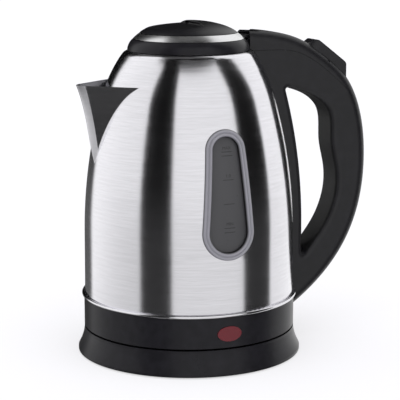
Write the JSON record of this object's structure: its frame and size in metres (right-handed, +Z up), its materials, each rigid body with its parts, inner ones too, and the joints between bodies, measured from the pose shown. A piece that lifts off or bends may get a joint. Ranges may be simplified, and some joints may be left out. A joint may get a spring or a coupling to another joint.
{
  "type": "electric kettle",
  "caption": "Cordless electric kettle: brushed steel jug with spout, water window, hinged lid and loop handle with a rocker switch, lifting off a round power base.",
  "frame": {"origin": "centre of the power base's foot ring, on the surface that it stands on", "axes": "+Z up along the jug's axis; +X towards the handle, -X towards the spout; -Y towards the water window and the lamp"},
  "size_m": [0.2196, 0.1615, 0.2362],
  "materials": {
    "black_plastic": "moulded black, semi-gloss",
    "grip_plastic": "moulded black, satin",
    "steel_brushed": "brushed round the axis",
    "chrome_trim": "polished plating",
    "foot_rubber": "matt rubber",
    "silicone": "translucent silicone",
    "contact_brass": "stamped brass",
    "red_lens": "translucent dark red",
    "lamp_glass": "clear neon bulb",
    "smoke_pane": "smoky translucent",
    "frame_grey": "grey translucent",
    "heater_aluminium": "plain",
    "control_plastic": "moulded, heat resistant",
    "screw_steel": "zinc plated",
    "wire_sleeve": "insulation sleeve"
  },
  "bodies": {
    "power_base": {"base_cover": "black_plastic", "base_plate": "black_plastic", "base_foot": "foot_rubber", "base_screws": "screw_steel", "base_socket": "control_plastic", "socket_contacts": "contact_brass", "cord_gland": "foot_rubber"},
    "kettle": {"bottom_skirt": "black_plastic", "skirt_screws": "screw_steel", "control_unit": "control_plastic", "plug_contacts": "contact_brass", "control_bimetals": "contact_brass", "heater_plate": "steel_brushed", "heat_spreader": "heater_aluminium", "heating_element": "heater_aluminium", "spout": "steel_brushed", "body_shell": "steel_brushed", "spout_strainer": "steel_brushed", "window_frame": "frame_grey", "window_sleeve": "smoke_pane", "window_pane": "smoke_pane", "window_gasket": "silicone", "indicator_lens": "red_lens", "indicator_lamp": "lamp_glass", "top_collar": "black_plastic", "hinge_pin": "screw_steel", "handle_housing": "black_plastic", "handle_cover": "black_plastic", "grip_insert": "grip_plastic", "handle_screws": "screw_steel", "switch_pin": "screw_steel", "steam_control": "control_plastic", "lever_pin": "screw_steel", "steam_bimetal": "contact_brass", "steam_duct": "silicone", "handle_wires": "wire_sleeve"},
    "lid": {"lid_plate": "black_plastic", "lid_seal": "silicone", "lid_trim": "chrome_trim", "lid_cover": "black_plastic", "lid_screws": "screw_steel"},
    "switch": {"switch_paddle": "black_plastic"},
    "trip_lever": {"trip_lever": "control_plastic"}
  },
  "joints": [
    {"name": "kettle_lift", "type": "slide", "parent": "power_base", "child": "kettle", "axis": [0, 0, 1], "range_m": [0, 0.08]},
    {"name": "lid_hinge", "type": "hinge", "parent": "kettle", "child": "lid", "pos_m": [0.046, 0, 0.2215], "axis": [0, 1, 0], "range_deg": [0, 80]},
    {"name": "switch_rock", "type": "hinge", "parent": "kettle", "child": "switch", "pos_m": [0.104, 0, 0.204], "axis": [0, 1, 0], "range_deg": [0, 12]},
    {"name": "lever_trip", "type": "hinge", "parent": "kettle", "child": "trip_lever", "pos_m": [0.086, 0, 0.199], "axis": [0, 1, 0], "range_deg": [-13.5, 0]}
  ],
  "couplings": [
    {"joint": "lever_trip", "follows": "switch_rock", "ratio": -1}
  ]
}
